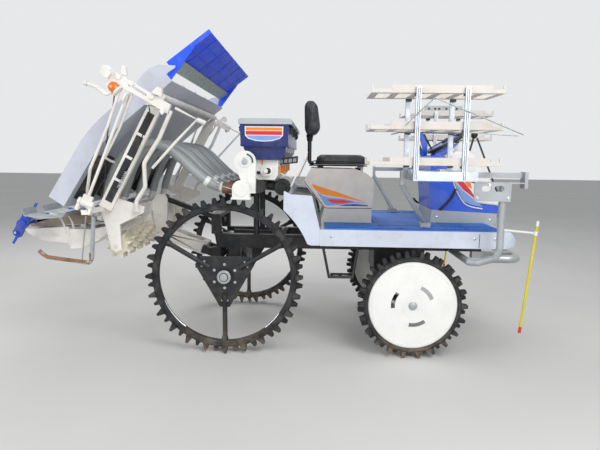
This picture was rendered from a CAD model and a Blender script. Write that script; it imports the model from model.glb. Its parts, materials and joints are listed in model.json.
# Looks of a riding rice transplanter: finishes, soft parts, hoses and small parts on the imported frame.
# Shapes are given in millimetres with X measured from the rear axle, as the part's source does.
import json
import math

import bmesh
import bpy
from mathutils import Matrix, Vector


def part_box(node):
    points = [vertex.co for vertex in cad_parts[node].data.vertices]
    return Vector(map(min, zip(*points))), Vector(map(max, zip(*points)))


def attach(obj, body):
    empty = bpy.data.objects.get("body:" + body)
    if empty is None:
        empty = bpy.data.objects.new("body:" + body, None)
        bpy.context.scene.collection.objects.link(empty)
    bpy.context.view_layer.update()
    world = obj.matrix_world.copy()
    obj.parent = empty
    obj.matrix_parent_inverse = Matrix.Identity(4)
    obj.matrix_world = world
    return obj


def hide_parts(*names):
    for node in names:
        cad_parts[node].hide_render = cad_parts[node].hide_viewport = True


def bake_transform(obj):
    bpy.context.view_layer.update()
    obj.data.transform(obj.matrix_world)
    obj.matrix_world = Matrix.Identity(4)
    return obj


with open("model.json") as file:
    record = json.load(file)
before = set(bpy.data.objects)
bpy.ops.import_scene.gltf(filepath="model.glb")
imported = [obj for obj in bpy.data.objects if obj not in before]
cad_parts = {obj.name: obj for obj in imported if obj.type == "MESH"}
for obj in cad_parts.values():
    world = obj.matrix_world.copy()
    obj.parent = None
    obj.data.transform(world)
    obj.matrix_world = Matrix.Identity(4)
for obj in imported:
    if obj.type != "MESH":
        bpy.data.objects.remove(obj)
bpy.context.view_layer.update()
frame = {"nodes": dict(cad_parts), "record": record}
nodes = frame["nodes"]

tyre_low, tyre_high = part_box("rear_tyre_left")
AXLE_X = (tyre_low.x + tyre_high.x) / 2
MM = 0.001


def at(x, y, z):
    """Point of the frame, in metres, for a place in millimetres from the rear axle."""
    return Vector((x * MM + AXLE_X, y * MM, z * MM))


def solid(node):
    """Lowest and highest corner of a solid, in millimetres from the rear axle."""
    return [Vector(((p.x - AXLE_X) / MM, p.y / MM, p.z / MM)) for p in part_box(node)]


def middle(node):
    low, high = solid(node)
    return (low + high) / 2


# Places that several pieces share, read from the solids
REAR_HUB = middle("rear_tyre_left")
FRONT_HUB = middle("front_tyre_left")
DISC_FACE = solid("front_disc_left")[1].y
SPIDER_FACE = solid("rear_spider_left")[1].y
COVER_Y = solid("engine_cover")[1].y
HOOD_Y = solid("hood_base")[1].y
SKIRT_Y = solid("platform")[1].y
MAT_TOP = solid("tread_mat")[1].z
HOPPER_Y = solid("hopper")[1].y
STAGE_Y = solid("stage_bed")[1].y
LAMP_Y = solid("lamp_brackets")[1].y

ROWS = 5
ROW_PITCH = 300
SIDES = (-1, 1)


def row_y(row):
    return (row - (ROWS - 1) / 2) * ROW_PITCH


def meter_y(row):
    """Middle of a row's metering unit and hose socket, below the hopper."""
    return (row - (ROWS - 1) / 2) * 2 * HOPPER_Y / ROWS


def both(y):
    return (-y, y)


def circle(count, first=0.0, turn=360.0):
    """Cosine and sine of evenly spaced angles, given in degrees."""
    angles = (math.radians(first + turn * k / count) for k in range(count))
    return [(math.cos(t), math.sin(t)) for t in angles]


def smooth(t):
    t = min(max(t, 0.0), 1.0)
    return t * t * (3 - 2 * t)


def linear(code):
    """Linear colour of an sRGB code such as 8090a0."""
    parts = [int(code[i : i + 2], 16) / 255 for i in (0, 2, 4)]
    return [p / 12.92 if p <= 0.04045 else ((p + 0.055) / 1.055) ** 2.4 for p in parts]


def placed(name, data):
    """New object in the scene, from a mesh, a camera or a lamp."""
    made = bpy.data.objects.new(name, data)
    bpy.context.scene.collection.objects.link(made)
    return made


# Camera, at the photograph's place and angle
CAMERA_AT = (0.2276, -3.6172, 1.1893)
CAMERA_LENS = 31.05
YAW, PITCH, ROLL = 0.0305, 0.1288, 0.0121


def make_camera():
    data = bpy.data.cameras.new("camera")
    data.lens = CAMERA_LENS
    data.sensor_width = 36.0
    camera = placed("camera", data)
    ahead = Vector((-math.sin(YAW) * math.cos(PITCH), math.cos(YAW) * math.cos(PITCH), -math.sin(PITCH)))
    right = Vector((math.cos(YAW), math.sin(YAW), 0))
    up = right.cross(ahead)
    side = right * math.cos(ROLL) + up * math.sin(ROLL)
    top = up * math.cos(ROLL) - right * math.sin(ROLL)
    camera.matrix_world = Matrix.Translation(CAMERA_AT) @ Matrix((side, top, -ahead)).transposed().to_4x4()
    bpy.context.scene.camera = camera


make_camera()


# Finishes: each slot's colour varies over the surface, with dust or dried mud where the real one has it
MUD = linear("8a7b66")
DUST = linear("a29a8c")
GRAIN_DEPTH = 0.002
COAT_ROUGHNESS = 0.12
MUD_SCALE = 22.0
MUD_AT_FLOOR = 0.75
# Noise levels between which the patches of colour, dust, mud and gloss fade in
COLOUR_FADE = (0.35, 0.65)
DUST_FADE = (0.48, 0.72)
MUD_FADE = (0.42, 0.62)
GLOSS_FADE = (0.3, 0.7)


def surface(name, code, rough, metal=0.0, mottle=0.10, patch=5.0, grain=0.15, grain_scale=350.0, dust=0.2,
            dust_colour=DUST, mud_height=0.0, coat=0.0, see_through=0.0):
    """Material with mottled colour, dust in patches, mud below a height, uneven gloss and a fine grain."""
    made = bpy.data.materials.new(name)
    made.use_nodes = True
    tree = made.node_tree
    link = tree.links.new
    shader = tree.nodes["Principled BSDF"]
    shader.inputs["Metallic"].default_value = metal
    shader.inputs["Coat Weight"].default_value = coat
    shader.inputs["Coat Roughness"].default_value = COAT_ROUGHNESS
    shader.inputs["Transmission Weight"].default_value = see_through
    place = tree.nodes.new("ShaderNodeTexCoord").outputs["Object"]
    colour = linear(code)

    def noise(scale, detail=5.0):
        node = tree.nodes.new("ShaderNodeTexNoise")
        node.inputs["Scale"].default_value = scale
        node.inputs["Detail"].default_value = detail
        link(place, node.inputs["Vector"])
        return node.outputs["Fac"]

    def ramp(value, low, high, start, end):
        node = tree.nodes.new("ShaderNodeMapRange")
        for key, number in zip(("From Min", "From Max", "To Min", "To Max"), (low, high, start, end)):
            node.inputs[key].default_value = number
        link(value, node.inputs["Value"])
        return node.outputs["Result"]

    def blend(factor, first, second):
        node = tree.nodes.new("ShaderNodeMix")
        node.data_type = "RGBA"
        link(factor, node.inputs["Factor"])
        for socket, value in ((node.inputs["A"], first), (node.inputs["B"], second)):
            if isinstance(value, list):
                socket.default_value = (*value, 1)
            else:
                link(value, socket)
        return node.outputs["Result"]

    def product(first, second):
        node = tree.nodes.new("ShaderNodeMath")
        node.operation = "MULTIPLY"
        node.use_clamp = True
        for socket, value in zip(node.inputs, (first, second)):
            if isinstance(value, float):
                socket.default_value = value
            else:
                link(value, socket)
        return node.outputs["Value"]

    darker = [c * (1 - mottle) for c in colour]
    lighter = [min(1.0, c * (1 + mottle * 0.5) + 0.01 * mottle) for c in colour]
    base = blend(ramp(noise(patch), *COLOUR_FADE, 0.0, 1.0), darker, lighter)
    if dust:
        patches = product(ramp(noise(patch * 3.1, 8.0), *DUST_FADE, 0.0, 1.0), dust)
        base = blend(patches, base, dust_colour)
    if mud_height:
        split = tree.nodes.new("ShaderNodeSeparateXYZ")
        link(place, split.inputs["Vector"])
        depth = ramp(split.outputs["Z"], 0.0, mud_height, MUD_AT_FLOOR, 0.0)
        spots = ramp(noise(MUD_SCALE, 8.0), *MUD_FADE, 0.15, 1.0)
        base = blend(product(depth, spots), base, MUD)
    link(base, shader.inputs["Base Color"])
    gloss = ramp(noise(patch * 6), *GLOSS_FADE, max(0.05, rough - 0.07), min(1.0, rough + 0.10))
    link(gloss, shader.inputs["Roughness"])
    bump = tree.nodes.new("ShaderNodeBump")
    bump.inputs["Strength"].default_value = grain
    bump.inputs["Distance"].default_value = GRAIN_DEPTH
    link(noise(grain_scale, 2.0), bump.inputs["Height"])
    link(bump.outputs["Normal"], shader.inputs["Normal"])
    return made


# Colour and roughness of each finish, and what else sets it apart from plain paint
FINISHES = {
    "frame_black": ("191b1e", 0.45, dict(mottle=0.25, dust=0.08, mud_height=0.26)),
    "white_panel": ("e8e8e4", 0.32, dict(mottle=0.05, dust=0.12, coat=0.25)),
    "deck_panel": ("ced5e4", 0.3, dict(mottle=0.06, dust=0.16, coat=0.3)),
    "blue_panel": ("1655d2", 0.32, dict(mottle=0.12, dust=0.1, coat=0.3)),
    "mat_rubber": ("2a74d0", 0.6, dict(mottle=0.2, patch=3.0, dust=0.1, grain=0.5)),
    "cover_grey": ("cfcac5", 0.34, dict(mottle=0.07, coat=0.2)),
    "step_plastic": ("555c62", 0.6, dict(mottle=0.2, dust=0.4)),
    "seat_skin": ("24272c", 0.5, dict(mottle=0.2, grain=0.5, grain_scale=520.0, dust=0.12)),
    "engine_iron": ("2c2e30", 0.6, dict(mottle=0.3, dust=0.5)),
    "wheel_plastic": ("1d1f22", 0.45, dict(mottle=0.15, dust=0.1)),
    "silver_paint": ("b7babb", 0.35, dict(metal=0.6, dust=0.25)),
    "grey_paint": ("a9aeb2", 0.42, dict(metal=0.25, mottle=0.12, dust=0.25)),
    "rack_aluminium": ("b9c0c8", 0.34, dict(metal=0.75, dust=0.15)),
    "tray_plastic": ("d8d2cb", 0.45, dict(mottle=0.05, dust=0.22, dust_colour=linear("c3b29f"))),
    "hopper_blue": ("15256a", 0.33, dict(mottle=0.15, dust=0.08, coat=0.2)),
    "lid_grey": ("b0b5bc", 0.5, dict(mottle=0.06)),
    "hose_grey": ("a2a7a8", 0.32, dict(mottle=0.12, see_through=0.1)),
    "tyre_rubber": ("1b1c20", 0.65, dict(mottle=0.25, dust=0.16, grain=0.35, grain_scale=160.0,
                                         mud_height=0.16)),
    "disc_white": ("eeeeeb", 0.4, dict(mottle=0.04, dust=0.08, coat=0.1)),
    "link_white": ("e6e3dd", 0.42, dict(mottle=0.08, dust=0.22)),
    "rod_chrome": ("c9cbce", 0.15, dict(metal=1.0, mottle=0.05, dust=0.05)),
    "case_aluminium": ("9a9080", 0.55, dict(metal=0.3, mottle=0.2, dust=0.6, dust_colour=MUD)),
    "galvanised": ("9ea4a8", 0.42, dict(metal=0.7, mottle=0.16, patch=14.0, dust=0.3)),
    "float_plastic": ("eeebe4", 0.48, dict(mottle=0.07, dust=0.25, dust_colour=MUD)),
    "stage_plastic": ("c2c6d3", 0.4, dict(mottle=0.05)),
    "belt_black": ("17181a", 0.65, dict(mottle=0.2, dust=0.25)),
    "head_blue": ("1f4bc0", 0.36, dict(mottle=0.15, dust=0.3, dust_colour=MUD)),
    "rotor_cream": ("e2dac6", 0.5, dict(mottle=0.12, dust=0.4, dust_colour=linear("b3a076"))),
    "pole_yellow": ("d6c81e", 0.4, dict(dust=0.1)),
    "orange": ("e8861c", 0.35, dict(mottle=0.06, dust=0.1)),
    "red": ("d3283a", 0.35, dict(mottle=0.06, dust=0.08)),
    "light_blue": ("7ea0dc", 0.35, dict(mottle=0.05, dust=0.1)),
    "dark_blue": ("1f3f9c", 0.35, dict(mottle=0.05, dust=0.1)),
    "amber": ("f07808", 0.15, dict(mottle=0.12, dust=0.05, coat=0.6, see_through=0.25)),
    "clear_sheet": ("9fb0ab", 0.3, dict(mottle=0.02, grain=0.0, see_through=0.15)),
    "extension_blue": ("1c55ff", 0.5, dict(mottle=0.05, grain=0.02)),
    "grid_blue": ("1238c4", 0.5, dict(mottle=0.05, grain=0.02)),
    "rust": ("8f6a52", 0.75, dict(mottle=0.35, patch=20.0, dust=0.3, dust_colour=linear("b08a68"))),
    "bright_steel": ("c6cace", 0.28, dict(metal=0.9, mottle=0.08, dust=0.1)),
    "green": ("2c9c58", 0.5, dict(dust=0.1)),
}
LOOKS = {name: surface(name, code, rough, **rest) for name, (code, rough, rest) in FINISHES.items()}

# Least angle of an edge that is softened, in degrees, and the bevels of the larger solids, in millimetres
SOFTENED_FROM = 32
WELD_GAP = 0.00002
EDGES = {
    "engine_cover": 16, "platform": 9, "rear_fenders": 5, "hood_upper": 16, "hood_lower": 10,
    "hood_base": 8, "hopper": 7, "hopper_lid": 6, "meter_unit": 6, "gear_case": 6, "tread_mat": 3,
    "floats": 9, "rack_trays_left": 2, "rack_trays_right": 2, "chain_cases": 8, "lower_link": 4,
    "planting_frame": 3, "lamp_brackets": 4, "front_axle_case": 10, "link_yoke": 4, "main_frame": 3,
    "rear_tyre_left": 2, "rear_tyre_right": 2, "front_tyre_left": 2.5, "front_tyre_right": 2.5,
    "rack_supports": 1.5, "air_duct": 3, "steering_column": 3, "engine_block": 6,
}


def soften(piece, width):
    """Welds and bevels a mesh with modifiers, and leaves its vertices alone."""
    weld = piece.modifiers.new("weld", "WELD")
    weld.merge_threshold = WELD_GAP
    bevel = piece.modifiers.new("bevel", "BEVEL")
    bevel.width = width * MM
    bevel.segments = 3
    bevel.limit_method = "ANGLE"
    bevel.angle_limit = math.radians(SOFTENED_FROM)
    bevel.harden_normals = True


def dress_nodes():
    for part in frame["record"]["subparts"]:
        node = nodes[part["node"]]
        node.data.materials.clear()
        node.data.materials.append(LOOKS[part["material_slot"]])
        if part["node"] in EDGES:
            soften(node, EDGES[part["node"]])
    nodes["stage_extension"].data.materials[0] = LOOKS["extension_blue"]


dress_nodes()


# A lathe profile that ends on its axis keeps a ring this small
LEAST_RADIUS = 0.05


class Piece:
    """One mesh on one body, gathered from simple shapes in millimetres from the rear axle."""

    def __init__(self, name, body, look, slot=None):
        self.name, self.body, self.look, self.slot = name, body, look, slot or look
        self.mesh = bmesh.new()

    def grid(self, rings):
        """Skin over rings of points, each with the same count, closed at both ends."""
        made = [[self.mesh.verts.new(at(*p)) for p in ring] for ring in rings]
        for first, second in zip(made, made[1:]):
            count = len(first)
            for i in range(count):
                j = (i + 1) % count
                self.mesh.faces.new((first[i], first[j], second[j], second[i]))
        self.mesh.faces.new(list(reversed(made[0])))
        self.mesh.faces.new(made[-1])
        return self

    def prism(self, outline, low, high):
        """Outline of (x, z) points, given a depth along Y."""
        return self.grid([[(x, y, z) for x, z in outline] for y in (low, high)])

    def box(self, low, high):
        outline = [(low[0], low[2]), (high[0], low[2]), (high[0], high[2]), (low[0], high[2])]
        return self.prism(outline, low[1], high[1])

    def tube(self, path, d, sides=12, sizes=None):
        """Round bar along points, or one whose diameter changes from point to point."""
        line = [Vector(p) for p in path]
        count = len(line)
        ahead = [(line[min(i + 1, count - 1)] - line[max(i - 1, 0)]).normalized() for i in range(count)]
        side = ahead[0].orthogonal().normalized()
        rings = []
        for i in range(count):
            side = (side - ahead[i] * side.dot(ahead[i])).normalized()
            other = ahead[i].cross(side)
            r = (sizes[i] if sizes else d) / 2
            rings.append([line[i] + r * (c * side + s * other) for c, s in circle(sides)])
        return self.grid(rings)

    def lathe(self, centre, axis, profile, sides=40):
        """Profile of (distance along the axis, radius), turned about an axis through a point."""
        line = Vector(axis).normalized()
        side = line.orthogonal().normalized()
        other = line.cross(side)
        rings = []
        for along, r in profile:
            core = Vector(centre) + along * line
            reach = max(r, LEAST_RADIUS)
            rings.append([core + reach * (c * side + s * other) for c, s in circle(sides)])
        return self.grid(rings)

    def bolt(self, point, axis, d):
        """Washer, six-sided head and the end of its thread."""
        h = 0.55 * d
        self.lathe(point, axis, [(0, d), (0.12 * d, d)], 20)
        self.lathe(point, axis, [(0, 0.86 * d), (h, 0.86 * d), (h + 0.1 * d, 0.7 * d)], 6)
        return self.lathe(point, axis, [(h, 0.4 * d), (h + 0.5 * d, 0.4 * d)], 10)

    def done(self, edge=0.0, smooth_angle=35):
        """Makes the object, finishes it and lets it ride on its body, if it has one."""
        bmesh.ops.recalc_face_normals(self.mesh, faces=self.mesh.faces)
        data = bpy.data.meshes.new(self.name)
        self.mesh.to_mesh(data)
        self.mesh.free()
        piece = placed(self.name, data)
        data.materials.append(LOOKS[self.look])
        data.shade_smooth()
        data.set_sharp_from_angle(angle=math.radians(smooth_angle))
        if edge:
            soften(piece, edge)
        if self.body:
            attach(piece, self.body)
        return piece


def bar(name, look, slot, path, d, sides):
    """Round bar, strap or cable that is a piece by itself, on the chassis."""
    Piece(name, "chassis", look, slot).tube(path, d, sides).done()


def rounded(path, steps=4):
    """Smooth line through points, for wires and hoses."""
    line = [Vector(p) for p in path]
    ends = [2 * line[0] - line[1], *line, 2 * line[-1] - line[-2]]
    made = []
    for a, b, c, d in zip(ends, ends[1:], ends[2:], ends[3:]):
        for k in range(steps):
            t = k / steps
            made.append(0.5 * (2 * b + (c - a) * t + (2 * a - 5 * b + 4 * c - d) * t * t
                               + (3 * b - a - 3 * c + d) * t ** 3))
    return [*made, line[-1]]


# Fertiliser hoses, one for each row: a neck bends with the upper link, a free hose with the planting unit
HOSE_D = 56
# Middle of a hose as (x, z), from its socket on the duct to its planting row, and the stretches that bend
HOSE_PATH = [
    (60, 1004), (-8, 1004), (-48, 1011), (-92, 1030), (-136, 1058), (-180, 1096), (-223, 1136),
    (-266, 1178), (-309, 1215), (-352, 1242), (-397, 1260), (-441, 1268), (-485, 1264), (-526, 1248),
    (-562, 1223), (-592, 1192), (-618, 1153), (-642, 1104), (-662, 1050), (-684, 990), (-700, 930),
]
HOSE_SPLIT = 14
HOSE_STEPS = 4
JOINT_WALL = 5
CUFF_RIBS = 20
CUFF_STEP = 4


def hose_line(row):
    last = len(HOSE_PATH) - 1
    points = []
    for i, (x, z) in enumerate(HOSE_PATH):
        share = smooth(i / last)
        points.append((x, meter_y(row) * (1 - share) + row_y(row) * share, z))
    return rounded(points, HOSE_STEPS)


def bending_hose(name, line):
    hose = Piece(name, None, "hose_grey").tube(line, HOSE_D, 20).done()
    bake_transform(hose)
    return hose


def make_hoses():
    for row in range(ROWS):
        line = hose_line(row)
        sleeve = Piece(f"hose_joint_{row + 1}", "upper_link", "white_panel")
        joint = sleeve.tube(line[HOSE_SPLIT - 1 : HOSE_SPLIT + 2], HOSE_D + JOINT_WALL, 24).done()
        cuff = Piece(f"hose_cuff_{row + 1}", "chassis", "rust", "hose_grey")
        rings = [(line[0].x - 2 - CUFF_STEP * k, line[0].y, line[0].z) for k in range(CUFF_RIBS)]
        cuff.tube(rings, 0, 28, [HOSE_D + 10 if k % 2 else HOSE_D + 15 for k in range(CUFF_RIBS)])
        cuff.done(smooth_angle=80)
        bending_hose(f"hose_neck_{row + 1}", line[: HOSE_SPLIT + 1])
        hose = bending_hose(f"hose_{row + 1}", line[HOSE_SPLIT:])
    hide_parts("hoses")


make_hoses()


# Seat: cushion and backrest swollen by a short cloth simulation, with piping round the cushion
VOXEL = 0.006
PRESSURE = 4.0
CLOTH_FRAMES = 20
PIPING_SLICE = 0.008
LEAST_REACH = 0.01
ALONG_RAY = 0.994
CUSHION_BASE = 0.012
BACKREST_BASE = 0.02


def bake(piece):
    """Keeps what the modifiers made and drops them."""
    graph = bpy.context.evaluated_depsgraph_get()
    data = bpy.data.meshes.new_from_object(piece.evaluated_get(graph))
    piece.modifiers.clear()
    piece.data = data


def inflate(piece, cap, held):
    """Swells a pad from inside, but moves no vertex by more than cap; held tells what stays."""
    before = [v.co.copy() for v in piece.data.vertices]
    group = piece.vertex_groups.new(name="held")
    group.add([v.index for v in piece.data.vertices if held(v.co)], 1.0, "REPLACE")
    cloth = piece.modifiers.new("cloth", "CLOTH")
    cloth.settings.use_pressure = True
    cloth.settings.uniform_pressure_force = PRESSURE
    cloth.settings.effector_weights.gravity = 0.0
    cloth.settings.vertex_group_mass = "held"
    cloth.settings.quality = 5
    for step in range(1, CLOTH_FRAMES + 1):
        bpy.context.scene.frame_set(step)
    bake(piece)
    for v, start in zip(piece.data.vertices, before):
        moved = v.co - start
        if moved.length > cap * MM:
            v.co = start + moved.normalized() * cap * MM
    bpy.context.scene.frame_set(1)


def swollen(name, node, shrink, cap, held):
    """Padded copy of a solid, a little smaller before it swells."""
    data = nodes[node].data.copy()
    piece = placed(name, data)
    low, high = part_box(node)
    centre = (low + high) / 2
    size = high - low
    for v in data.vertices:
        v.co = Vector(centre[i] + (v.co[i] - centre[i]) * (1 - 2 * shrink * MM / size[i]) for i in range(3))
    remesh = piece.modifiers.new("remesh", "REMESH")
    remesh.mode = "VOXEL"
    remesh.voxel_size = VOXEL
    bake(piece)
    inflate(piece, cap, held)
    relax = piece.modifiers.new("relax", "SMOOTH")
    relax.iterations = 12
    relax.factor = 0.5
    fine = piece.modifiers.new("fine", "SUBSURF")
    fine.levels = fine.render_levels = 1
    bake(piece)
    piece.data.materials.clear()
    piece.data.materials.append(LOOKS["seat_skin"])
    piece.data.shade_smooth()
    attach(piece, "seat")
    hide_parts(node)
    return piece


def outline_at(piece, z, count=72):
    """Points round a pad at one height, in metres, for its piping."""
    near = [v.co for v in piece.data.vertices if abs(v.co.z - z) < PIPING_SLICE]
    centre = sum(near, Vector()) / len(near)
    ring = []
    for c, s in circle(count):
        ray = Vector((c, s, 0))
        reach = 0.0
        for p in near:
            away = Vector((p.x - centre.x, p.y - centre.y, 0))
            if away.length > LEAST_REACH and away.normalized().dot(ray) > ALONG_RAY:
                reach = max(reach, away.length)
        ring.append(Vector((centre.x, centre.y, z)) + ray * reach)
    return ring


def make_pads():
    low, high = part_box("seat_cushion")
    cushion = swollen("cushion_pad", "seat_cushion", shrink=7, cap=11,
                      held=lambda p: p.z < low.z + CUSHION_BASE)
    for name, height in (("cushion_piping", 0.4), ("cushion_rim", 0.12)):
        ring = outline_at(cushion, low.z + height * (high.z - low.z))
        line = [((p.x - AXLE_X) / MM, p.y / MM, p.z / MM) for p in [*ring, ring[0], ring[1]]]
        Piece(name, "seat", "seat_skin").tube(line, 6, 8).done()
    low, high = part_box("seat_backrest")
    swollen("backrest_pad", "seat_backrest", shrink=6, cap=9, held=lambda p: p.z < low.z + BACKREST_BASE)


def make_seat_fittings():
    """Ribbed boots of the backrest's bars and coiled feet under the pan."""
    boot = Piece("backrest_boot", "seat", "wheel_plastic")
    sizes = [34, 40, 36, 44, 40, 48, 44, 50]
    for y in both(60):
        boot.tube([(495, y, 1306 + 6 * k) for k in range(len(sizes))], 0, 20, sizes)
    boot.done()
    feet = Piece("seat_feet", "seat", "frame_black")
    for y in both(110):
        feet.tube([(820 + 2 * k, y, 1118 + (k % 2) * 3) for k in range(12)], 14, 10)
    feet.done()


make_pads()
make_seat_fittings()


# Coloured films and panel joints of the body
FILM_ROOT = 2


def film(name, look, slot, y, lift, outline):
    """Thin coloured film on both sides of an upright panel, its root sunk in the panel."""
    piece = Piece(name, "chassis", look, slot)
    piece.prism(outline, -y - lift, -y + FILM_ROOT)
    piece.prism(outline, y - FILM_ROOT, y + lift)
    piece.done()


def make_stripes():
    film("cover_orange", "orange", "cover_grey", COVER_Y, 0.6,
         [(509, 1027), (700, 968), (875, 908), (700, 941), (620, 950), (575, 960), (540, 987)])
    film("cover_light_blue", "light_blue", "cover_grey", COVER_Y, 0.4,
         [(548, 974), (590, 948), (640, 938), (720, 933), (800, 914), (875, 900), (780, 903), (690, 890),
          (620, 884), (600, 896)])
    film("cover_red", "red", "cover_grey", COVER_Y, 0.9,
         [(611, 926), (660, 927), (712, 926), (760, 917), (797, 911), (745, 905), (694, 899), (650, 903)])
    film("cover_dark_blue", "dark_blue", "cover_grey", COVER_Y, 0.9,
         [(690, 884), (730, 894), (790, 899), (880, 892), (882, 884)])
    film("hood_orange", "orange", "white_panel", HOOD_Y, 0.8,
         [(1502, 1060), (1545, 1062), (1562, 1003), (1534, 1018)])
    film("hood_red", "red", "white_panel", HOOD_Y, 0.8,
         [(1445, 1064), (1492, 1064), (1556, 990), (1600, 925), (1552, 962), (1505, 996)])
    film("hood_light_blue", "light_blue", "white_panel", HOOD_Y, 0.4,
         [(1462, 1038), (1505, 990), (1552, 955), (1640, 884), (1560, 900), (1512, 922), (1484, 968)])
    border = Piece("stripe_borders", "chassis", "white_panel")
    for y in both(COVER_Y):
        border.tube([(506, y, 1031), (606, y, 880), (890, y, 881)], 4, 8)
    for y in both(HOOD_Y):
        border.tube(rounded([(1436, y, 1058), (1452, y, 1012), (1478, y, 962), (1516, y, 908),
                             (1566, y, 884), (1636, y, 872)]), 9, 8)
    border.done()


def make_joints():
    """Dark joints between the parts of the engine cover and of the side skirts."""
    seam = Piece("cover_joint", "chassis", "frame_black", "cover_grey")
    for y in both(COVER_Y):
        seam.tube([(466, y, 1040), (600, y, 874), (616, y, 869), (903, y, 871)], 4, 8)
    seam.tube([(906, -COVER_Y, 871), (906, COVER_Y, 871)], 4, 8)
    for y in both(SKIRT_Y):
        seam.box((1507, y - 1.5, 676), (1510, y + 1.5, 757))
    seam.done()


def make_shields():
    """Striped shield on each end of the hopper, without its letters."""
    film("shield_border", "white_panel", "hopper_blue", HOPPER_Y, 0.6,
         [(130, 1366), (352, 1366), (350, 1314), (330, 1296), (290, 1284), (241, 1280), (192, 1284),
          (150, 1296), (132, 1314)])
    film("shield_orange", "orange", "hopper_blue", HOPPER_Y, 1.0,
         [(136, 1360), (346, 1360), (345, 1343), (136, 1343)])
    film("shield_red", "red", "hopper_blue", HOPPER_Y, 1.0,
         [(136, 1340), (345, 1340), (344, 1318), (137, 1318)])
    film("shield_blue", "light_blue", "hopper_blue", HOPPER_Y, 1.0,
         [(139, 1314), (342, 1314), (328, 1300), (290, 1289), (241, 1285), (192, 1289), (154, 1300)])


make_stripes()
make_joints()
make_shields()


# Deck: grooves and ribs of the mat, bolts of the body, and a clip below the cover's stripes
GROOVES = 7
GROOVE_PITCH = 128
GROOVE_END = 548
RIBS = 40
RIB_PITCH = 26


def make_mat():
    grooves = Piece("mat_grooves", "chassis", "dark_blue", "mat_rubber")
    top = MAT_TOP + 0.2
    for side in SIDES:
        for k in range(GROOVES):
            x = 650 + GROOVE_PITCH * k
            outer = GROOVE_END if x < 1560 else 500
            beside_cover = x < 870
            beside_hood = x > 1180
            inner = 286 if beside_cover else 214 if beside_hood else 30
            grooves.tube([(x, side * outer, top), (x + 44, side * (outer - 40), top),
                          (x + 44, side * (outer - 120), top), (x + 60, side * inner, top)], 5, 6)
        grooves.tube([(606, side * GROOVE_END, top), (1645, side * GROOVE_END, top)], 4, 6)
        grooves.tube([(930, side * 400, top), (1640, side * 400, top)], 4, 6)
    grooves.done()
    ribs = Piece("mat_ribs", "chassis", "mat_rubber")
    for side in SIDES:
        for k in range(RIBS):
            x = 612 + RIB_PITCH * k
            ribs.tube([(x, side * (GROOVE_END - 4), top), (x + 14, side * (GROOVE_END - 18), top + 0.6),
                       (x + 14, side * 424, top)], 3, 6)
    ribs.done()


def make_body_bolts():
    bolts = Piece("body_bolts", "chassis", "bright_steel", "silver_paint")
    for x, y, z in ((1690, HOOD_Y, 800), (1340, HOOD_Y, 815), (640, SKIRT_Y, 730), (1480, SKIRT_Y, 730),
                    (1600, SKIRT_Y, 730)):
        for side in SIDES:
            bolts.lathe((x, side * y, z), (0, side, 0), [(0, 9), (3, 8), (4, 3)], 16)
    bolts.done()


make_mat()
make_body_bolts()
bar("cover_clip", "green", "cover_grey",
    [(562, -COVER_Y, 862), (578, -COVER_Y - 6, 852), (588, -COVER_Y - 2, 845)], 9, 8)


# Controls: guide panel, levers, pedal, strap and the wheel's boss
def make_guide_panel():
    guide = Piece("guide_panel", "chassis", "blue_panel")
    guide.prism([(1340, 1232), (1384, 1243), (1452, 1288), (1496, 1338), (1480, 1352), (1404, 1300),
                 (1350, 1270)], -82, 82)
    guide.done(edge=8)
    slash = Piece("cowl_red", "chassis", "red", "blue_panel")
    for y in both(83):
        slash.prism([(1412, 1290), (1436, 1296), (1478, 1330), (1470, 1338)], y - 1, y + 1)
    slash.done()
    cap = Piece("guide_cap", "chassis", "red", "blue_panel")
    cap.prism([(1242, 1381), (1270, 1399.5), (1286, 1392), (1264, 1364), (1248, 1362)], 167.2, 192.8)
    cap.done(edge=1.5)
    slot = Piece("lever_guide_slot", "chassis", "frame_black", "blue_panel")
    for y in both(162):
        slot.prism([(1236, 1352), (1248, 1356), (1300, 1262), (1290, 1256)], y - 2, y + 2)
    slot.done()


def make_main_lever():
    """Lever on the far side, with its round knob."""
    lever = Piece("main_lever", "chassis", "frame_black")
    knob = (1668, 180, 1352)
    lever.tube([(1590, 150, 1120), (1640, 170, 1250), knob], 14, 12)
    lever.lathe(knob, (0.2, 0.05, 0.98), [(-8, 12), (0, 19), (16, 24), (34, 20), (44, 8)], 24)
    lever.done()


def make_pedal():
    """Pedal on the left of the hood's base, with raised treads."""
    pedal = Piece("pedals", "chassis", "frame_black")
    y, half = 244, 34
    pedal.tube([(1356, 0.8 * y, 862), (1300, y, 872), (1262, y, 900)], 16, 10)
    pedal.box((1226, y - half, 896), (1276, y + half, 904))
    for k in range(5):
        pedal.box((1230 + 9 * k, y - half, 904), (1234 + 9 * k, y + half, 908))
    pedal.done(edge=1.5)


def make_wheel_boss():
    boss = Piece("wheel_boss", "steering_wheel", "wheel_plastic")
    lean = math.radians(29)
    axis = Vector((-math.sin(lean), 0, math.cos(lean)))
    boss.lathe(middle("steering_wheel") + 12 * axis, axis,
               [(0, 33), (6, 33), (14, 26), (17, 10), (17, 0)], 36)
    boss.done(smooth_angle=50)


make_guide_panel()
make_main_lever()
make_pedal()
bar("black_strap", "frame_black", "frame_black",
    rounded([(1457, -203, 1000), (1440, -206, 960), (1410, -206, 915), (1359, -206, 862)]), 16, 10)
make_wheel_boss()


# Seedling racks: profiles of the posts, clips of the trays, wires and the perforated plate
TRAY_LEVELS = 3
TRAY_PITCH = 187
POST_PLACES = (-104, 148)


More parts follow.
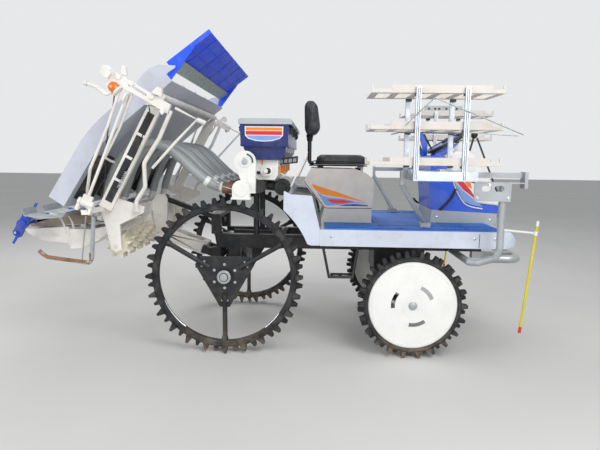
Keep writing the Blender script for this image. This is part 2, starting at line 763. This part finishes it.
def make_posts(name, side):
    """Grooves along a rack's posts and the clips that hold its trays."""
    frame_low, frame_high = solid(f"rack_frame_{name}")
    trays_low, trays_high = solid(f"rack_trays_{name}")
    inner, outer = sorted((abs(frame_low.y), abs(frame_high.y)))
    trays_inner, trays_outer = sorted((abs(trays_low.y), abs(trays_high.y)))
    grooves = Piece(f"rack_{name}_grooves", f"rack_{name}", "frame_black", "rack_aluminium")
    clips = Piece(f"rack_{name}_clips", f"rack_{name}", "step_plastic", "tray_plastic")
    for place in POST_PLACES:
        x = (trays_low.x + trays_high.x) / 2 + place
        for y, out in ((outer, 1), (inner, -1)):
            face = side * (y + out * 0.4)
            for dx in both(4.5):
                grooves.box((x + dx - 1.2, face - 1, frame_low.z + 7),
                            (x + dx + 1.2, face, frame_high.z - 9))
        for k in range(TRAY_LEVELS):
            z = trays_low.z + k * TRAY_PITCH
            for y in (trays_outer - 6, trays_inner + 6):
                clips.box((x - 17, side * y - 8, z - 14), (x + 17, side * y + 8, z - 1))
    grooves.done()
    clips.done(edge=2)


def make_wires(name, side, mat_wire):
    """Wire below the middle tray and, where asked for, the bent wire that keeps the seedling mats in."""
    inner, outer = sorted(abs(corner.y) for corner in solid(f"rack_frame_{name}"))
    x = middle(f"rack_trays_{name}").x
    wires = Piece(f"rack_{name}_wires", f"rack_{name}", "galvanised", "rack_aluminium")
    if mat_wire:
        y = side * (outer + 4)
        wires.tube([(x - 170, y, 1362), (x - 100, y, 1432), (x - 28, y, 1500), (x - 20, y, 1503),
                    (x + 60, y, 1471), (x + 167, y, 1430), (x + 440, y - side * 8, 1322)], 6, 10)
        wires.tube([(x + 170, y, 1330), (x + 300, y, 1322), (x + 410, y, 1316)], 6, 8)
    y = side * (inner + 40)
    wires.tube([(x - 200, y, 1330), (x - 150, y, 1342), (x + 200, y, 1338)], 6, 8)
    wires.done()


def make_plate():
    """Perforated plate on top of the left rack."""
    plate = Piece("perforated_plate", "rack_left", "grey_paint", "rack_aluminium")
    plate.prism([(1410, 1545), (1720, 1545), (1720, 1622), (1414, 1622)], 702, 706)
    plate.done(edge=1)
    holes = Piece("plate_holes", "rack_left", "frame_black", "rack_aluminium")
    for x in (1450, 1500, 1532, 1590, 1640, 1672):
        holes.lathe((x, 701, 1598), (0, 1, 0), [(0, 9), (6, 9)], 20)
    holes.done()


def make_rack_bolts():
    """Bolts of the slotted plates that carry the racks' beams."""
    bolts = Piece("rack_bolts", "chassis", "bright_steel", "grey_paint")
    face = solid("rack_supports")[1].y
    for side in SIDES:
        for x, z in ((1426, 984), (1490, 1056), (1594, 984)):
            bolts.bolt((x, side * face, z), (0, side, 0), 9)
    bolts.done()


make_posts("right", -1)
make_wires("right", -1, mat_wire=True)
make_posts("left", 1)
make_plate()
make_wires("left", 1, mat_wire=False)
make_rack_bolts()


# Fertiliser unit: metering drive, metering units, catches, blower and small rods
def make_drive():
    """Dial of the metering drive, its knob and the raised panels of the gear case, on the right."""
    face = -HOPPER_Y - 50.3
    x, z = 137, 1165
    dial = Piece("dial_slot", "chassis", "frame_black", "white_panel")
    dial.tube([(x + 44 * c, face + 5.6, z + 44 * s) for c, s in circle(15, -8, 90)], 9, 8)
    dial.done()
    knob = Piece("dial_knob", "chassis", "lid_grey")
    knob.lathe((x, face, z), (0, -1, 0), [(0, 17), (8, 16), (11, 11), (11, 0)], 28)
    knob.box((x - 6, face - 15, z - 5), (x + 6, face - 8, z + 23))
    knob.done(edge=1)
    raised = Piece("gear_case_relief", "chassis", "white_panel")
    raised.prism([(150, 1138), (188, 1138), (194, 1120), (194, 1010), (176, 1000), (160, 1040), (148, 1080)],
                 -HOPPER_Y - 48, -HOPPER_Y - 40)
    raised.prism([(60, 950), (174, 950), (174, 962), (60, 962)], -HOPPER_Y - 76, -HOPPER_Y - 14)
    raised.lathe((117, -HOPPER_Y - 72, 1008), (0, -1, 0), [(-4, 46), (0, 46), (4, 40), (5, 0)], 32)
    raised.done(edge=2.5)


def make_meters():
    """Round windows with their rims, and orange clips, on each metering unit."""
    holes = Piece("meter_windows", "chassis", "frame_black", "white_panel")
    clips = Piece("meter_clips", "chassis", "orange", "white_panel")
    rims = Piece("meter_rims", "chassis", "white_panel")
    outward = (0, -1, 0)
    for row in range(ROWS):
        y = meter_y(row)
        holes.lathe((262, y - 99, 1112), outward, [(0, 18), (6, 18)], 28)
        holes.lathe((205, y - 76, 1100), outward, [(0, 11), (5, 11)], 24)
        rims.lathe((262, y - 98, 1112), outward, [(0, 27), (5, 26), (6, 19)], 32)
        rims.lathe((205, y - 75, 1100), outward, [(0, 16), (4, 15), (5, 11)], 28)
        clips.box((222, y - 82, 1150), (232, y - 74, 1178))
        for dy in both(40):
            clips.box((322, y + dy - 20, 1090), (330, y + dy + 20, 1140))
    holes.done()
    clips.done(edge=1.5)
    rims.done()


def make_hopper_parts():
    """Catches of the lid on the front of the hopper and a rib round its body."""
    catch = Piece("hopper_catches", "chassis", "frame_black", "hopper_blue")
    for y in (-430, 0, 430):
        catch.box((380, y - 22, 1330), (392, y + 22, 1372))
        catch.tube([(394, y - 18, 1336), (398, y - 18, 1368), (398, y + 18, 1368), (394, y + 18, 1336)],
                   5, 8)
    catch.done(edge=2)
    rib = Piece("hopper_rib", "chassis", "hopper_blue")
    for y in both(HOPPER_Y):
        rib.box((104, min(y, y * 1.004), 1258), (382, max(y, y * 1.004), 1264))
    rib.box((380, -HOPPER_Y, 1258), (384, HOPPER_Y, 1264))
    rib.done(edge=1)


def make_rear_plates():
    """Leaning plates behind the seat and the white rod to the near one."""
    plate = Piece("rear_plate", "chassis", "link_white")
    for y in both(506):
        plate.prism([(478, 1222), (494, 1228), (400, 1022), (386, 1014)], y - 10, y + 10)
    plate.tube([(306, -480, 1106), (352, -490, 1086), (400, -500, 1070)], 9, 10)
    plate.done(edge=1.5)


def make_blower():
    """Drum with eight spokes in front of the duct, and the louvred rail above it."""
    x, z = 337, 1012
    drum = Piece("blower_drum", "chassis", "frame_black")
    drum.lathe((x, -470, z), (0, -1, 0), [(-10, 50), (0, 50), (6, 44), (6, 30), (2, 26), (2, 0)])
    for c, s in circle(8):
        drum.tube([(x + 12 * c, -472, z + 12 * s), (x + 40 * c, -476, z + 40 * s)], 4, 6)
    drum.done()
    rail = Piece("louvre_rail", "chassis", "frame_black")
    rail.prism([(300, 1142), (425, 1158), (427, 1202), (302, 1186)], -330, -300)
    rail.done(edge=2)
    louvre = Piece("louvre_slots", "chassis", "galvanised")
    for k in range(4):
        x, z = 312 + 28 * k, 1152 + 3.6 * k
        louvre.prism([(x, z), (x + 20, z + 2.6), (x + 20, z + 26), (x, z + 23)], -333, -328)
    louvre.done()


def make_hose_clamps():
    clamp = Piece("hose_clamp", "chassis", "white_panel")
    for row in range(ROWS):
        y = meter_y(row)
        clamp.tube([(-34, y, 1008.5), (-22, y, 1006.5)], HOSE_D + 10, 28)
        clamp.box((-34, y - 5, 966), (-24, y + 5, 984))
    clamp.done(edge=1)


make_drive()
make_meters()
make_hopper_parts()
make_rear_plates()
make_blower()
bar("dome_rod", "bright_steel", "silver_paint",
    rounded([(66, -692, 1010), (10, -690, 1024), (-26, -668, 1022), (-30, -630, 1036), (-30, -560, 1040)]),
    5, 8)
make_hose_clamps()


# Wheels: hub bosses, bolts, spoke sockets and the bare inner rim
SPOKES = 3
FIRST_SPOKE = 30
RIM_RADIUS = 404.5
WORN_STRETCHES = ((203, 33), (308, 21))


def around(hub, y, radius, angles):
    """Points round a wheel's axle, from cosines and sines."""
    return [(hub.x + radius * c, y, hub.z + radius * s) for c, s in angles]


def make_rear_hub(side, name):
    hub = Piece(f"rear_hub_{name}", f"rear_wheel_{name}", "silver_paint")
    outward = (0, side, 0)
    plate_face = side * (REAR_HUB.y + 5.5)
    hub.lathe((REAR_HUB.x, side * (SPIDER_FACE - 6), REAR_HUB.z), outward,
              [(-6, 42), (0, 42), (4, 38), (4, 24), (12, 22), (14, 8), (14, 0)])
    for point in around(REAR_HUB, plate_face, 72, circle(6, 30)):
        hub.bolt(point, outward, 9)
    for c, s in circle(SPOKES, FIRST_SPOKE):
        for aside in both(14):
            place = (REAR_HUB.x + 150 * c - aside * s, plate_face, REAR_HUB.z + 150 * s + aside * c)
            hub.bolt(place, outward, 8)
    hub.done()


def make_rear_rim(side, name):
    """Worn stretches of the inner rim, where the bare metal shows."""
    rim = Piece(f"rear_rim_{name}", f"rear_wheel_{name}", "bright_steel", "frame_black")
    for first, turn in WORN_STRETCHES:
        rim.tube(around(REAR_HUB, side * REAR_HUB.y, RIM_RADIUS, circle(turn // 3, first, turn)), 20, 12)
    rim.done()


def make_spoke_sockets(side, name):
    socket = Piece(f"rear_sockets_{name}", f"rear_wheel_{name}", "frame_black")
    centre = Vector((REAR_HUB.x, side * REAR_HUB.y, REAR_HUB.z))
    for c, s in circle(SPOKES, FIRST_SPOKE):
        out = Vector((c, 0, s))
        socket.tube([centre + 372 * out, centre + 386 * out, centre + 400 * out], 0, 16, [32, 40, 44])
        socket.tube([centre + 108 * out, centre + 170 * out, centre + 186 * out], 0, 16, [40, 40, 32])
    socket.done()


def make_front_wheel_parts(side, name):
    """Hub cap and the two raised rings of a closed front disc."""
    hub = Piece(f"front_hub_{name}", f"front_wheel_{name}", "silver_paint")
    face = side * DISC_FACE
    hub.lathe((FRONT_HUB.x, face, FRONT_HUB.z), (0, side, 0),
              [(-2, 26), (2, 26), (3, 22), (9, 20), (12, 8), (12, 0)], 36)
    hub.done()
    ridge = Piece(f"front_ridges_{name}", f"front_wheel_{name}", "disc_white")
    for radius, d in ((246, 5), (60, 4)):
        ring = around(FRONT_HUB, face, radius, circle(72))
        ridge.tube([*ring, ring[0], ring[1]], d, 8)
    ridge.done()


for side, name in zip(SIDES, ("right", "left")):
    make_rear_hub(side, name)
    make_rear_rim(side, name)
    make_spoke_sockets(side, name)
    make_front_wheel_parts(side, name)


# Planting unit: lamps, rods, guides, cables, springs and rust
ROD_Y = 928
ROD_FOOT_Y = 800
STAGE_ROD_Y = 790
MAST_Y = 745
GUARD_Y = STAGE_Y - 3


def make_lamps():
    lamp = Piece("lamps", "planting_unit", "amber", "lid_grey")
    base = Piece("lamp_bases", "planting_unit", "link_white")
    arms = Piece("marker_locks", "planting_unit", "link_white")
    for side in SIDES:
        y = side * LAMP_Y
        glass = (-492, side * (LAMP_Y - 4), 1532)
        lamp.lathe(glass, (-0.72, 0, 0.69), [(-18, 26), (-12, 29), (14, 28), (28, 20), (34, 4)], 32)
        base.lathe(glass, (0.72, 0, -0.69), [(16, 30), (26, 30), (30, 16)], 32)
        base.prism([(-561, 1598), (-540, 1642), (-516, 1642), (-500, 1600), (-520, 1576)], y - 22, y + 18)
        base.prism([(-452, 1600), (-448, 1645), (-428, 1640), (-424, 1592)], y - 10, y + 10)
        base.prism([(-300, 1508), (-268, 1540), (-244, 1530), (-246, 1488)], y - 16, y + 12)
        base.prism([(-262, 1420), (-250, 1398), (-236, 1410), (-234, 1440)], y - 12, y + 8)
        arms.tube([(-640, y, 1556), (-590, y, 1540), (-536, y, 1500), (-504, y, 1512), (-486, y, 1538)],
                  20, 12)
        arms.tube([(-646, y, 1558), (-632, y, 1554)], 28, 12)
        for x, z in ((-470, 1588), (-402, 1554), (-300, 1490)):
            base.lathe((x, y, z), (0, side, 0), [(0, 15), (6, 14), (8, 5)], 20)
    lamp.done(smooth_angle=60)
    base.done(edge=2)
    arms.done()


def make_side_rods():
    """Rods beside the stage: two outside its travel, which turn in below, and a bent one with a knob."""
    rods = Piece("side_rods", "planting_unit", "link_white")
    for side in SIDES:
        y = side * ROD_Y
        foot = side * ROD_FOOT_Y
        rods.tube([(-462, y, 1546), (-540, y, 1340), (-640, y, 1120)], 16, 12)
        rods.tube([(-640, y, 1120), (-690, side * 860, 1000), (-716, foot, 930)], 16, 12)
        rods.tube([(-404, y, 1512), (-478, y, 1330), (-560, y, 1180)], 14, 12)
        rods.tube([(-560, y, 1180), (-580, foot, 1160), (-586, side * 742, 1154)], 14, 12)
        knob_foot = (-104, side * STAGE_ROD_Y, 1388)
        rods.tube([(-222, side * STAGE_ROD_Y, 1448), knob_foot, (-218, foot, 1270), (-352, foot, 1124)],
                  16, 12)
        rods.tube([knob_foot, (-60, side * (ROD_FOOT_Y - 14), 1370)], 26, 12)
        rods.prism([(-730, 936), (-700, 948), (-684, 916), (-700, 884), (-722, 894)], foot - 10, foot + 6)
    rods.done()


def make_stage_brackets():
    brackets = Piece("stage_brackets", "stage", "stage_plastic")
    for y in both(STAGE_Y - 5.5):
        brackets.prism([(-468, 1548), (-412, 1622), (-362, 1664), (-318, 1680), (-224, 1676), (-228, 1662),
                        (-262, 1640), (-330, 1572), (-392, 1512)], y - 6, y + 6)
    brackets.done(edge=3)
    strip = Piece("clear_strip", "stage", "clear_sheet", "stage_plastic")
    strip.prism([(-262, 1664), (-196, 1713), (-194, 1709), (-258, 1658)], -740, 740)
    strip.done()


def make_extension_grid():
    """Moulded grid of the blue extension, which shows on both its faces."""
    grid = Piece("extension_grid", "stage", "grid_blue", "blue_panel")
    low, high = Vector((-262, 0, 1676)), Vector((-28, 0, 1849))
    half = 750
    for share in (0.25, 0.5, 0.75):
        point = low + (high - low) * share
        grid.tube([(point.x, -half, point.z), (point.x, half, point.z)], 6, 8)
    for row in range(ROWS):
        grid.tube([(low.x + 6, row_y(row), low.z + 4), (high.x - 6, row_y(row), high.z - 4)], 6, 8)
    grid.done()


def make_claw_guides():
    """Curved guides below the rail, two at each row."""
    guides = Piece("claw_guides", "planting_unit", "link_white")
    for row in range(ROWS):
        for dy in both(52):
            y = row_y(row) + dy
            guides.tube(rounded([(-1010, y, 850), (-960, y, 832), (-932, y, 790), (-922, y, 730)]), 12, 8)
    guides.done()


def make_mast_channels():
    """Open channel of the masts, shown between its cross ribs."""
    channel = Piece("mast_channels", "planting_unit", "frame_black", "link_white")
    foot, head = Vector((-636, 0, 913)), Vector((-316, 0, 1521))
    along = (head - foot).normalized()
    across = Vector((-along.z, 0, along.x))
    opening, pitch, half_width = 126, 142, 21
    for k in range(4):
        start = 24 + pitch * k
        corners = [foot + a * along + b * across
                   for a, b in ((start, -half_width), (start + opening, -half_width),
                                (start + opening, half_width), (start, half_width))]
        for y in both(MAST_Y):
            channel.prism([(c.x, c.z) for c in corners], y - 1, y + 1)
    channel.done()


def make_cables():
    cables = Piece("lamp_cables", "planting_unit", "frame_black", "link_white")
    for side in SIDES:
        cables.tube(rounded([(-498, side * 922, 1520), (-512, side * 924, 1430), (-540, side * 922, 1320),
                             (-578, side * 868, 1208), (-618, side * 790, 1080), (-668, side * 735, 930)]),
                    7, 8)
        cables.tube(rounded([(-330, side * 905, 1462), (-352, side * 830, 1400), (-420, side * 758, 1290),
                             (-470, side * 752, 1180), (-560, side * 752, 1060)]), 6, 8)
    cables.done()


def make_return_springs():
    springs = Piece("return_springs", "planting_unit", "bright_steel", "link_white")
    turns, steps = 9, 10
    for side in SIDES:
        foot = Vector((-560, side * 760, 1010))
        rise = Vector((50, 0, 95))
        coil = [foot + rise * k / (turns * steps) + 10 * Vector((c, s, 0))
                for k, (c, s) in enumerate(circle(turns * steps + 1, 0, 360 * (turns + 1 / steps)))]
        springs.tube([coil[0] - Vector((10, 0, 24)), *coil, coil[-1] + Vector((8, 0, 22))], 3.4, 6)
    springs.done()


def make_press_bars():
    """Two bars over the lanes, with the wires that press the seedling mats down."""
    bars = Piece("press_bars", "stage", "link_white")
    low, high = Vector((-870, 0, 905)), Vector((-640, 0, 1270))
    slope = (high - low).normalized()
    normal = Vector((-slope.z, 0, slope.x))
    lane_pitch = 303
    for reach in (150.85, 267.22):
        point = low + slope * reach + normal * 62
        bars.tube([(point.x, -752, point.z), (point.x, 752, point.z)], 12, 10)
        end = point - normal * 40 - slope * 120
        for row in range(ROWS):
            for dy in (-90, -30, 30, 90):
                across = Vector((0, (row - 2) * lane_pitch + dy, 0))
                bars.tube([point + across, end + across], 6, 6)
    bars.done()


def make_head_bolts():
    """Bolts at both ends of each planting head."""
    bolts = Piece("head_details", "planting_heads", "bright_steel", "head_blue")
    shaft = middle("planting_heads")
    turn = math.radians(57.3)
    out = 62 * Vector((math.cos(turn), 0, math.sin(turn)))
    for row in range(ROWS):
        for end in SIDES:
            centre = Vector((shaft.x, row_y(row), shaft.z)) + end * out
            for side in (1, -1):
                bolts.bolt(centre + Vector((0, 30 * side, 0)), (0, side, 0), 7)
    bolts.done()


def make_guard_rust():
    guard = Piece("guard_rust", "planting_unit", "rust", "grey_paint")
    for y in both(GUARD_Y):
        guard.tube([(-727, y, 640), (-727, y, 600), (-740, y, 584), (-860, y, 597), (-980, y, 612),
                    (-1002, y, 626), (-1026, y, 648)], 23, 14)
    guard.done(smooth_angle=60)


make_lamps()
make_side_rods()
make_stage_brackets()
make_extension_grid()
make_claw_guides()
make_mast_channels()
make_cables()
make_return_springs()
make_press_bars()
make_head_bolts()
make_guard_rust()


# Front markers: red feet, white collars and arms, the sleeve of the sighting pole and a cable
POLE_Y = 850
POLE_D = 12


def make_markers():
    tips = Piece("marker_tips", "chassis", "red", "pole_yellow")
    collars = Piece("marker_collars", "chassis", "white_panel", "pole_yellow")
    for side in SIDES:
        y = side * POLE_Y
        tips.tube([(1666.3, y, 256.5), (1669.8, y, 290)], POLE_D + 4.5, 14)
        collars.tube([(1722.4, y, 845), (1724.9, y, 871)], POLE_D + 3.5, 14)
        collars.tube([(1716.5, y, 794), (1718.5, y, 816)], POLE_D + 8, 14)
        root = Vector((1575, side * 730, 806))
        arm = (Vector((1718, y, root.z)) - root).normalized()
        collars.tube([root + 21 * arm, root + 183 * arm], POLE_D + 1.5, 12)
    tips.done()
    collars.done()


make_markers()
bar("pole_sleeve", "frame_black", "pole_yellow",
    [(1637, 0, 1339), (1818, 0, 917), (1824, 0, 818), (1812, 0, 806), (1741, 0, 806)], POLE_D, 12)
bar("front_cable", "frame_black", "frame_black",
    rounded([(1700, -120, 1040), (1740, -160, 960), (1762, -190, 860), (1755, -205, 800)]), 10, 10)


# Stage: floor, soft lamps and a pale world
FLOOR_HALF = 30.0
LAMP_AIM = Vector((0, 0, 0.8))
SOFT_COLOUR, SOFT_LEVEL = (0.93, 0.96, 1.0, 1), 0.39
PALE_COLOUR, PALE_LEVEL = (0.80, 0.81, 0.82, 1), 1.0


def make_floor():
    data = bpy.data.meshes.new("floor")
    corners = [(FLOOR_HALF * x, FLOOR_HALF * y, 0) for x, y in ((-1, -1), (1, -1), (1, 1), (-1, 1))]
    data.from_pydata(corners, [], [(0, 1, 2, 3)])
    floor = placed("floor", data)
    data.materials.append(surface("floor", "d9d8d5", 0.75, mottle=0.03, patch=0.8, dust=0.0, grain=0.05))


def soft_lamp(name, place, size, power):
    """Square lamp, in metres and watts, turned to the middle of the machine."""
    data = bpy.data.lights.new(name, "AREA")
    data.size = size
    data.energy = power
    lamp = placed(name, data)
    lamp.location = place
    lamp.rotation_mode = "QUATERNION"
    lamp.rotation_quaternion = (LAMP_AIM - Vector(place)).to_track_quat("-Z", "Y")


def make_world():
    """Soft light from all round, and a pale backdrop for what the camera, gloss and clear sheets see."""
    world = bpy.data.worlds.new("world")
    world.use_nodes = True
    tree = world.node_tree
    link = tree.links.new
    tree.nodes.clear()

    def background(colour, level):
        node = tree.nodes.new("ShaderNodeBackground")
        node.inputs["Color"].default_value = colour
        node.inputs["Strength"].default_value = level
        return node.outputs["Background"]

    path = tree.nodes.new("ShaderNodeLightPath")
    seen = path.outputs["Is Camera Ray"]
    for kind in ("Is Glossy Ray", "Is Transmission Ray"):
        either = tree.nodes.new("ShaderNodeMath")
        either.operation = "MAXIMUM"
        link(seen, either.inputs[0])
        link(path.outputs[kind], either.inputs[1])
        seen = either.outputs["Value"]
    mix = tree.nodes.new("ShaderNodeMixShader")
    out = tree.nodes.new("ShaderNodeOutputWorld")
    link(seen, mix.inputs["Fac"])
    link(background(SOFT_COLOUR, SOFT_LEVEL), mix.inputs[1])
    link(background(PALE_COLOUR, PALE_LEVEL), mix.inputs[2])
    link(mix.outputs["Shader"], out.inputs["Surface"])
    bpy.context.scene.world = world


make_floor()
soft_lamp("key", (2.2, -4.2, 4.6), 3.0, 172)
soft_lamp("low", (1.9, -5.6, 1.7), 2.2, 54)
soft_lamp("fill", (-4.0, -3.4, 2.6), 3.0, 96)
soft_lamp("back", (-1.0, 4.2, 4.0), 3.0, 100)
make_world()
bpy.context.scene.view_settings.view_transform = "Standard"
